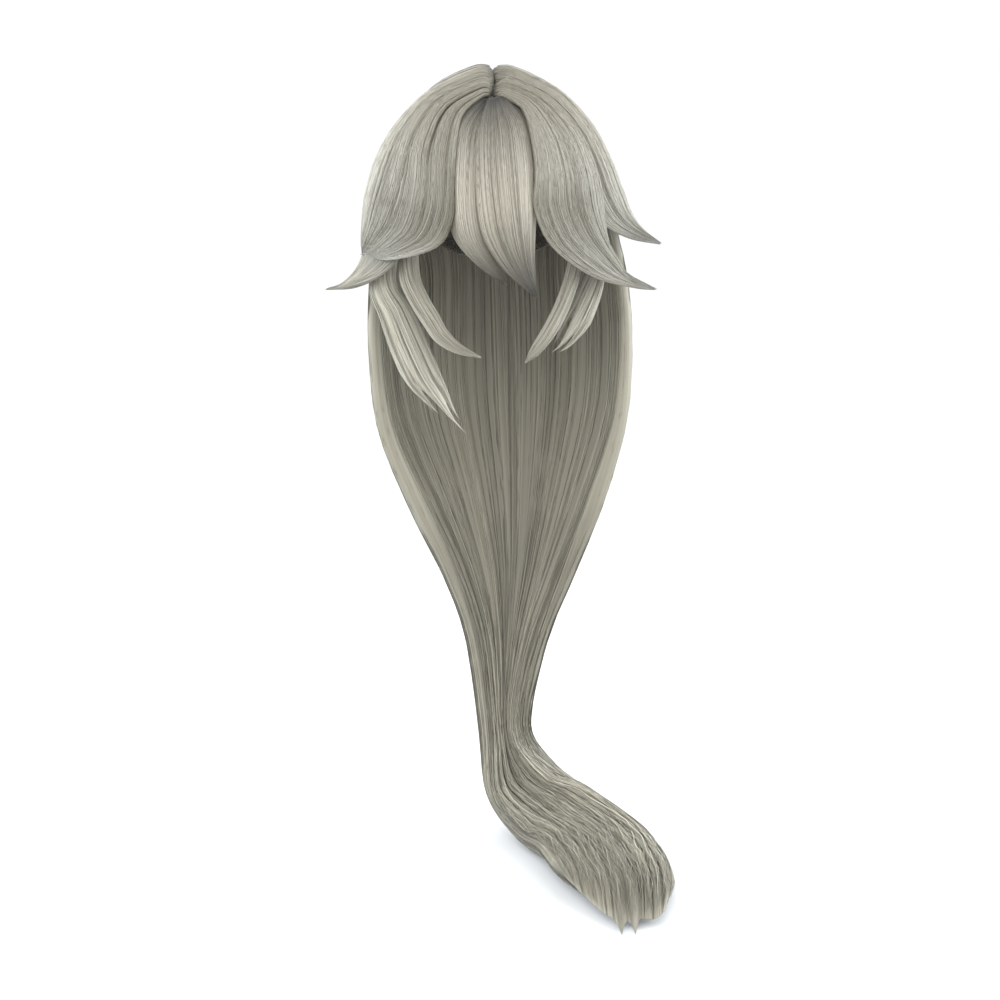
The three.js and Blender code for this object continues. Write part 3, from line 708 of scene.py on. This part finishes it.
BACK_END = {
    "place": [0, 0.1, 0.2, 0.3, 0.36, 0.4, 0.42, 0.44, 0.46, 0.48, 0.51,
              0.54, 0.56, 0.58, 0.6, 0.63, 0.7, 0.8, 0.9, 0.94, 0.97, 1],
    "short": [0.06, 0.04, 0.03, 0.022, 0.02, 0.014, 0.008, 0, 0.008, 0.014, 0.018,
              0.014, 0.008, 0, 0.008, 0.018, 0.014, 0.008, 0.004, 0.002, 0.018, 0.016],
}
# Painted light and shade along the back's edges: a negative depth lightens the edges beside the neck as a
# painted sheen, and a crease darkens the left panel's edge along the tail.
BACK_EDGE_PAINTED_LIGHT = {
    "back_left": [[0, 0.28, 0.64, 0.13, -0.24], [0, 0.7, 1.3, 0.12, 0.14]],
    "back_centre": [],
    "back_right": [[1, 0.28, 0.64, 0.1, -0.22]],
}
# Painted shade: the dark root draws the shadow line at the parting. Painted light: the tip value above 1
# lightens the tail where it lies in the open.
back_fibre = fibre_material(
    "back_fibre", (0.044, 0.04, 0.029), (0.285, 0.265, 0.206), root_shade=0.15, root_run=0.05, tip_shade=1.25,
    tip_run=0.38, streaks=0.95, smooth=0.42,
)
for seed, (panel, shares) in enumerate(BACK_PANELS.items(), start=11):
    hair_piece(
        panel, back_guides(*shares), back_depth(*shares), back_fibre, seed,
        strands=(640, 18), width=0.001, run=(0.14, 0.45), tip_share=0.48, outer_share=0.55, edge_share=0.06,
        locks={"count": 4, "relief": 0.1, "lift": 0.03, "groove": 0.07, "rough": 4},
        wisps={"count": 60, "relief": 0.03, "groove": 0.025, "lift": 0.008, "tone": 0.04, "rough": 8},
        end_places=(np.array(BACK_END["place"]) - shares[0]) / (shares[1] - shares[0]),
        end_short=BACK_END["short"], end_run=0.05, gather=0.25, point=0.2, late=10, sway=0.012, roam=0.008,
        tousled=5, tone_spread=0.18, inner_shade=0, body=(100, 130), body_end=1, body_fibres=220,
        # The wide crease at the tail's end paints it darker: painted shade.
        wall_fibres=26, wander=0.02, meander=0.03, creases=[[0.5, 0.9, 1.2, 3, 0.16], *BACK_EDGE_PAINTED_LIGHT[panel]],
    )


# Side locks
# Loose locks that fall in front of the shoulders, a long light one on the left and a short one on the right.
# They are sewn to the edge of the cap beside the ears and curve in under the chin.

LOCK_CROWN = 0.25
SIDE_LOCKS = {
    "side_lock_left": [
        [-0.073, -0.034, -0.1, 0.01, 0], [-0.088, -0.038, -0.14, 0.012, 0.3],
        [-0.093, -0.042, -0.168, 0.012, 0.7], [-0.083, -0.046, -0.191, 0.014, 0.9],
        [-0.072, -0.05, -0.219, 0.016, 1], [-0.06, -0.053, -0.245, 0.016, 1],
        [-0.048, -0.055, -0.262, 0.013, 1], [-0.036, -0.056, -0.279, 0.0075, 1],
        [-0.02, -0.057, -0.297, 0.001, 1],
    ],
    "side_lock_right": [
        [0.073, -0.034, -0.1, 0.01, 0], [0.086, -0.038, -0.14, 0.011, 0.3],
        [0.083, -0.042, -0.166, 0.011, 0.7], [0.076, -0.046, -0.185, 0.012, 0.9],
        [0.068, -0.05, -0.201, 0.012, 1], [0.057, -0.053, -0.217, 0.0075, 1],
        [0.046, -0.055, -0.226, 0.0012, 1],
    ],
}
SIDE_LOCK_DEPTH = 0.008


def lock_guides(line):
    """Three guides of a hanging lock from rows of x, y, z, half-width and turn: its edges lie to both sides
    of the middle line, across the way it faces, which turns from straight out from the head at 0 to forward
    at 1. Its middle is crowned outwards."""
    line = np.array(line)
    middle, half, turn = line[:, :3], line[:, 3:4], line[:, 4:]
    ends = np.concatenate([middle[:1], middle, middle[-1:]])
    facing = unit(unit(middle * [1, 1, 0]) * (1 - turn) + np.array([0, -1, 0]) * turn)
    across = unit(np.cross(facing, ends[2:] - ends[:-2]))
    return np.stack([middle - across * half, middle + facing * half * LOCK_CROWN, middle + across * half])


def combed(depth, root_share=0.6, root_run=0.2, tip_share=0.14, tip_run=0.3, edge_share=0.12, edge_power=2.2):
    """Depth of a combed sheet: full in the middle, thin along both long edges, at the root and at the tip."""
    def at(u, v):
        edge = edge_share + (1 - edge_share) * (1 - np.abs(2 * u - 1) ** edge_power)
        root = root_share + (1 - root_share) * np.minimum(1, v / root_run)
        tip = tip_share + (1 - tip_share) * np.minimum(1, (1 - v) / tip_run)
        return depth * edge * root * tip
    return at


# Painted light: a paler fibre than the bangs' for locks that hang in full light, with painted shade at the
# roots that come out from under the bangs.
lock_fibre_painted_light = fibre_material(
    "lock_fibre_painted_light", (0.09, 0.082, 0.058), (0.46, 0.436, 0.362), root_shade=0.55, smooth=0.34,
)
# The left lock's higher tone paints it lighter and the right lock's lower one darker: painted light and
# painted shade.
LOCK_STYLES = {
    "side_lock_left": {
        "tone": 0.7,
        "locks": {"count": 6, "relief": 0.5, "groove": 0.3, "tones": [0.14, 0, -0.16, 0.02, -0.2, -0.24]},
        "end_places": [0, 0.16, 0.3, 0.5, 0.68, 0.84, 1], "end_short": [0.45, 0.16, 0.34, 0, 0.2, 0.08, 0.4],
    },
    "side_lock_right": {
        "tone": 0.42,
        "locks": {"count": 5, "relief": 0.5, "groove": 0.3, "tones": [-0.08, -0.2, -0.12, 0.02, 0.16]},
        "end_places": [0, 0.14, 0.3, 0.5, 0.66, 0.84, 1], "end_short": [0.4, 0.1, 0.4, 0.02, 0.3, 0.08, 0.4],
    },
}
for seed, (lock, line) in enumerate(SIDE_LOCKS.items(), start=21):
    hair_piece(
        lock, lock_guides(line), combed(SIDE_LOCK_DEPTH, root_share=0.9), lock_fibre_painted_light, seed,
        strands=(350, 16), width=0.0008, outer_share=0.7, wisps={"count": 16, "tone": 0.06}, gather=0.4,
        point=0.3, ragged=0.1, sway=0.014, roam=0.01, stray_share=0.06, stray=0.006, body=(44, 44),
        body_fibres=60, **LOCK_STYLES[lock],
    )


# Cheek locks
# Two narrow, flat locks that frame the face. They come out from under the bangs at the temples and curve in
# below the cheeks to thin points.

CHEEK_LOCKS = {
    "cheek_lock_left": [
        [-0.063, -0.057, -0.095, 0.009, 0], [-0.069, -0.06, -0.128, 0.0095, 0.2],
        [-0.07, -0.061, -0.157, 0.0095, 0.6], [-0.062, -0.065, -0.177, 0.0085, 0.7],
        [-0.052, -0.07, -0.193, 0.008, 0.8], [-0.043, -0.075, -0.206, 0.007, 0.8],
        [-0.029, -0.08, -0.216, 0.0045, 0.9], [-0.009, -0.085, -0.223, 0.0003, 1],
    ],
    "cheek_lock_right": [
        [0.063, -0.057, -0.095, 0.008, 0], [0.069, -0.06, -0.128, 0.0075, 0.2],
        [0.066, -0.061, -0.157, 0.0065, 0.5], [0.057, -0.066, -0.183, 0.0065, 0.6],
        [0.046, -0.074, -0.203, 0.006, 0.7], [0.035, -0.079, -0.218, 0.0045, 0.8],
        [0.026, -0.083, -0.228, 0.0003, 1],
    ],
}
CHEEK_LOCK_DEPTH = 0.006

for seed, (lock, line) in enumerate(CHEEK_LOCKS.items(), start=31):
    hair_piece(
        lock, lock_guides(line), combed(CHEEK_LOCK_DEPTH, root_share=0.9), lock_fibre_painted_light, seed,
        strands=(200, 16), width=0.0007, outer_share=0.75, locks={"count": 3}, wisps={"count": 10},
        gather=0.3, point=0.2, ragged=0.1, sway=0.01, tone=0.38, body=(28, 40), body_fibres=40,
    )


# Fringe
# Two pointed lobes of short combed fibre that fall over the forehead from the front end of the parting, the
# narrow one under the left edge of the main one.

FRINGE = {
    "fringe_point": {
        "strands": 300, "fibres": 90, "creases": [], "depth": 0.006,
        "guides": [
            [[-30, 5, 0, -0.006], [-36, 15, 0, -0.006], [-33, 35, 0, -0.006], [-26, 56, 0, -0.006],
             [-22, 75, 0, -0.007], [-17, 90, 0.001, -0.007], [-6, 90, 0.022, -0.005], [6, 90, 0.037, -0.003]],
            [[-10, 7, 0, -0.004], [-13, 17, 0, -0.003], [-16, 37, 0, -0.002], [-13, 57, 0, -0.002],
             [-11, 75, 0, -0.002], [-8, 90, 0, -0.002], [-1, 90, 0.021, -0.002], [6.2, 90, 0.037, -0.002]],
            [[-2, 7, 0, -0.006], [-5, 17, 0, -0.005], [-9, 38, 0, -0.005], [-7, 58, 0, -0.005],
             [-6, 75, 0, -0.005], [-3, 89, 0, -0.005], [2, 90, 0.02, -0.004], [6.4, 90, 0.0365, -0.003]],
        ],
    },
    "fringe_main": {
        "strands": 650, "fibres": 150, "depth": 0.007,
        # Creases with painted shade; the wide one at the right edge darkens a strip there.
        "creases": [[0.97, 0.25, 0.95, 0.09, 0.16], [0.3, 0.4, 0.9, 0.01, 0.14],
                    [0.62, 0.3, 0.8, 0.008, 0.12]],
        "guides": [
            [[-14, 5, 0, -0.003], [-13, 16], [-12, 38], [-9, 58], [-7, 75], [-4, 89], [5, 90, 0.025, 0.001],
             [18.6, 90, 0.0475, 0.001]],
            [[3, 5, 0, -0.003], [4, 16], [5, 38], [5, 58], [6, 75], [8, 89], [12, 90, 0.022, 0.001],
             [18.8, 90, 0.048, 0.001]],
            [[30, 4, 0, -0.004], [36, 14, 0, -0.005], [33, 33, 0, -0.006], [27, 51, 0, -0.006],
             [22, 68, 0, -0.005], [19, 84, 0, -0.004], [18, 90, 0.017, -0.001], [19, 90, 0.048, 0.001]],
        ],
    },
}
LIP = {"parting_arc": 10, "share": 0.25, "out": -0.0004, "root_arc_share": 0.4, "root_out": -0.002}


def dome_guides(rows, depth):
    """Guide strands from rows of azimuth, arc, drop and out for the outer face, the last two 0 where left
    out, moved in by half the depth. A guide from the parting starts closer to it, and turns over a narrow lip
    before its second row."""
    rows = np.array([[[*row, 0, 0][:4] for row in guide] for guide in rows], float)
    if rows[0, 0, 1] < LIP["parting_arc"]:
        root, second = rows[:, :1].copy(), rows[:, 1:2]
        lip = root + (second - root) * LIP["share"]
        lip[..., 3] = second[..., 3] + LIP["out"]
        root[..., 1] *= LIP["root_arc_share"]
        root[..., 3] = second[..., 3] + LIP["root_out"]
        rows = np.concatenate([root, lip, rows[:, 1:]], 1)
    azimuth, arc, drop, out = np.moveaxis(rows, -1, 0)
    return on_dome(azimuth, arc, drop, out - depth / 2)


# Painted light and shade: a pale fibre, a root value below 0 over most of the length and a deep tip value
# paint a light band across the middle of the fringe, with painted shade at the top under the bangs and at the
# bottom.
fringe_fibre_painted_light = fibre_material(
    "fringe_fibre_painted_light", (0.102, 0.088, 0.05), (0.765, 0.712, 0.6), root_shade=-0.17, root_run=0.85, tip_shade=0.2,
    tip_run=0.55, smooth=0.42,
)
for seed, (lobe, sheet) in enumerate(FRINGE.items(), start=41):
    hair_piece(
        lobe, dome_guides(sheet["guides"], sheet["depth"]), combed(sheet["depth"]), fringe_fibre_painted_light, seed,
        strands=(sheet["strands"], 16), locks={"count": 4, "relief": 0.1, "groove": 0.1}, wisps={"count": 22},
        creases=sheet["creases"], ragged=0.02, sway=0.003, roam=0.002, body=(90, 44),
        body_fibres=sheet["fibres"],
    )


# Bangs
# Swept layers from the parting to both sides, combed over the fringe's edges and the front of the back hair.
# Each is set with heat into a curve that ends in a sharp outward flick.

BANGS = {
    "bang_left_lower": {
        "strands": 400, "depth": 0.008, "style": {"body": (70, 40), "body_fibres": 140},
        "guides": [
            [[-45, 71, 0, -0.009], [-44, 84, 0, -0.009], [-47, 90, 0.016, -0.007], [-57, 90, 0.036, 0.003],
             [-68, 90, 0.0465, 0.018], [-76, 90, 0.0515, 0.036]],
            [[-68, 71, 0, -0.009], [-67, 84, 0, -0.009], [-68, 90, 0.016, -0.006], [-71, 90, 0.0365, 0.003],
             [-74, 90, 0.0475, 0.018], [-76, 90, 0.051, 0.0365]],
            [[-92, 71, 0, -0.009], [-92, 84, 0, -0.008], [-92, 90, 0.016, -0.001], [-89, 90, 0.036, 0.006],
             [-82, 90, 0.0475, 0.0185], [-76.3, 90, 0.0505, 0.036]],
        ],
    },
    "bang_left_upper": {
        "strands": 1100, "depth": 0.009,
        "style": {
            "body": (160, 60), "body_fibres": 380,
            # Creases with painted shade: narrow ones, and wide ones over the top, the lower part and the
            # inner edge. Two of negative depth paint light low on the front edge and at the tip.
            "creases": [[0.075, 0.12, 0.4, 0.012, 0.3], [0.225, 0.14, 0.5, 0.013, 0.5],
                        [0.4, 0.3, 0.75, 0.008, 0.12], [0.15, 0.6, 0.95, 0.012, 0.2],
                        [0.04, 0.72, 1.05, 0.035, -0.22], [0.3, 0.6, 1, 0.4, 0.13],
                        [0.5, 0.02, 0.36, 1, 0.07], [0, 0.46, 0.84, 0.05, 0.3], [0.1, 0.84, 1.4, 0.3, -0.14]],
            # The outer locks' higher tones paint a pale sheen along the outer edge: painted highlight.
            "locks": {"count": 6, "edges": [0, 0.08, 0.23, 0.42, 0.57, 0.78, 1], "relief": 0.14,
                      "tones": [0.02, -0.02, 0, 0.07, 0.17, 0.22]},
        },
        "guides": [
            [[-24, 4, 0, -0.004], [-27, 12], [-28, 30], [-21, 49], [-18, 66], [-17, 80],
             [-24, 90, 0.006, 0.001], [-48, 90, 0.02, 0.004], [-86, 90, 0.0245, 0.006]],
            [[-36, 1.6, 0, -0.004], [-42, 11], [-48, 33], [-43, 52], [-38, 65], [-38, 77],
             [-43, 88, 0, 0.001], [-60, 90, 0.016, 0.004], [-92, 90, 0.026, 0.004]],
            [[-70, 1, 0, -0.004], [-71, 10], [-73, 31], [-74, 48], [-73, 61], [-72, 73], [-73, 84, 0, 0.001],
             [-79, 90, 0.011, 0.003], [-95, 90, 0.029, 0.004]],
            [[-118, 1, 0, -0.004], [-113, 10], [-105, 30], [-101, 49], [-98, 64], [-97, 78], [-96, 90],
             [-97, 90, 0.016, 0.002], [-99, 90, 0.034, 0.004]],
        ],
    },
    "bang_right_lower": {
        "strands": 850, "depth": 0.009,
        "style": {
            "body": (120, 60), "body_fibres": 280,
            # Creases with painted shade: narrow ones, and wide ones that darken the top and the lower part.
            "creases": [[0.3, 0.2, 0.6, 0.012, 0.12], [0.62, 0.25, 0.7, 0.012, 0.14],
                        [0.12, 0.55, 0.95, 0.015, 0.2], [0.4, 0.5, 0.95, 0.6, 0.22],
                        [0.5, 0.02, 0.4, 0.8, 0.2]],
        },
        "guides": [
            [[18, 5.5, 0, -0.004], [26, 12], [31, 27], [24, 46], [21, 61], [18, 75], [25, 90, 0.005, 0],
             [45, 90, 0.033, 0.004], [66, 90, 0.047, 0.019], [75, 90, 0.0512, 0.0335]],
            [[32, 1.7, 0, -0.004], [40, 11], [45, 29], [46, 48], [44, 64], [43, 79], [50, 90, 0.004, 0],
             [63, 90, 0.028, 0.004], [68.5, 90, 0.042, 0.0135], [75.2, 90, 0.0508, 0.034]],
            [[46, 1.3, 0, -0.004], [57, 10], [63, 30], [62, 49], [60, 67], [58, 81], [60, 90, 0.006, 0],
             [68, 90, 0.026, 0.003], [70.5, 90, 0.037, 0.0108], [75.4, 90, 0.0504, 0.0335]],
        ],
    },
    "bang_right_upper": {
        "strands": 650, "depth": 0.009,
        "style": {
            # The wide crease paints shade over the top; the outer locks' higher tones paint a highlight along
            # the outer edge.
            "body": (110, 56), "body_fibres": 260, "creases": [[0.5, 0.02, 0.4, 0.8, 0.08]],
            "locks": {"count": 4, "edges": [0, 0.3, 0.52, 0.76, 1], "tones": [-0.03, 0.07, 0.14, 0.18]},
        },
        "guides": [
            [[48, 1.3, 0, -0.009], [50, 10, 0, -0.007], [52, 31, 0, -0.007], [51, 49, 0, -0.007],
             [50, 63, 0, -0.007], [50, 75, 0, -0.006], [57, 86, 0, -0.001], [70, 90, 0.007, 0.012],
             [80.6, 90, 0.0145, 0.035]],
            [[72, 1, 0, -0.004], [73, 10], [74, 30], [73, 48], [71, 63], [71, 74, 0, 0.001],
             [74, 83, 0, 0.005], [78, 90, 0, 0.016], [81, 90, 0.014, 0.0355]],
            [[118, 1, 0, -0.004], [113, 10], [105, 30], [100, 49], [97, 64, 0, 0.0005], [94, 74, 0, 0.001],
             [90, 82, 0, 0.0035], [85.5, 90, 0.0035, 0.0145], [81.4, 90, 0.0135, 0.035]],
        ],
    },
}
# Painted shade: the dark roots draw the shadow line along the parting, and the tip value darkens the ends.
bang_fibre = fibre_material(
    "bang_fibre", (0.05, 0.043, 0.02), (0.375, 0.356, 0.308), root_shade=0.05, root_run=0.13, tip_shade=0.85,
    streaks=0.46, smooth=0.42, sheen=0.3,
)
for seed, (bang, sheet) in enumerate(BANGS.items(), start=51):
    hair_piece(
        bang, dome_guides(sheet["guides"], sheet["depth"]), combed(sheet["depth"]), bang_fibre, seed,
        strands=(sheet["strands"], 16), wisps={"count": 40}, ragged=0.02, tone=0.4, tone_spread=0.06,
        sway=0.003, roam=0.002, **({"locks": {"groove": 0.1, "relief": 0.14}} | sheet["style"]),
    )


# Studio
# A plain pale floor under soft, even light from a bright room, with a wide lamp above the front and a wide,
# cool one at each side.

FLOOR_HALF = 60

floor = mesh_piece(
    "floor",
    np.array([[-1, -1, 0], [1, -1, 0], [1, 1, 0], [-1, 1, 0]]) * FLOOR_HALF + [0, 0, FLOOR_Z],
    [np.array([[0, 1, 2, 3]])],
)
paint, tree, shader = new_material("pale_floor")
fill(tree, shader, {"Base Color": (0.5, 0.5, 0.5, 1), "Roughness": 0.9, "Specular IOR Level": 0.1})
floor.data.materials.append(paint)

scene = bpy.context.scene
scene.view_settings.view_transform = "Standard"
room = bpy.data.worlds.new("bright_room")
room.use_nodes = True
fill(room.node_tree, room.node_tree.nodes["Background"], {"Color": (1, 1, 1, 1), "Strength": 2})
scene.world = room


def lamp(name, place, target, size, power, colour=(1, 1, 1)):
    """A square area lamp at a place, turned to a target."""
    light = bpy.data.lights.new(name, "AREA")
    light.size = size
    light.energy = power
    light.color = colour
    piece = bpy.data.objects.new(name, light)
    way = np.array(target) - np.array(place)
    flat = math.hypot(way[0], way[1])
    piece.location = place
    tilt, turn = math.atan2(way[2], flat), math.atan2(way[1], way[0])
    piece.rotation_euler = (math.pi / 2 + tilt, 0, turn - math.pi / 2)
    scene.collection.objects.link(piece)


lamp("key", (-0.2, -2, 1.35), (0, 0, -0.15), size=1, power=20)
for name, side in (("rim_left", -1), ("rim_right", 1)):
    lamp(name, (1.7 * side, -0.05, 0.15), (0, 0, 0), size=1.4, power=62, colour=(0.84, 0.92, 1))

LENS_PIXELS = 2216
PHOTO_PIXELS = 1000
CAMERA_PLACE = (0.0056, -1.905, 0.109)
CAMERA_PITCH = 14

view = bpy.data.cameras.new("photo_view")
view.sensor_width = 36
view.lens = view.sensor_width * LENS_PIXELS / PHOTO_PIXELS
camera = bpy.data.objects.new("photo_view", view)
camera.location = CAMERA_PLACE
camera.rotation_euler = (math.radians(90 - CAMERA_PITCH), 0, 0)
scene.collection.objects.link(camera)
scene.camera = camera
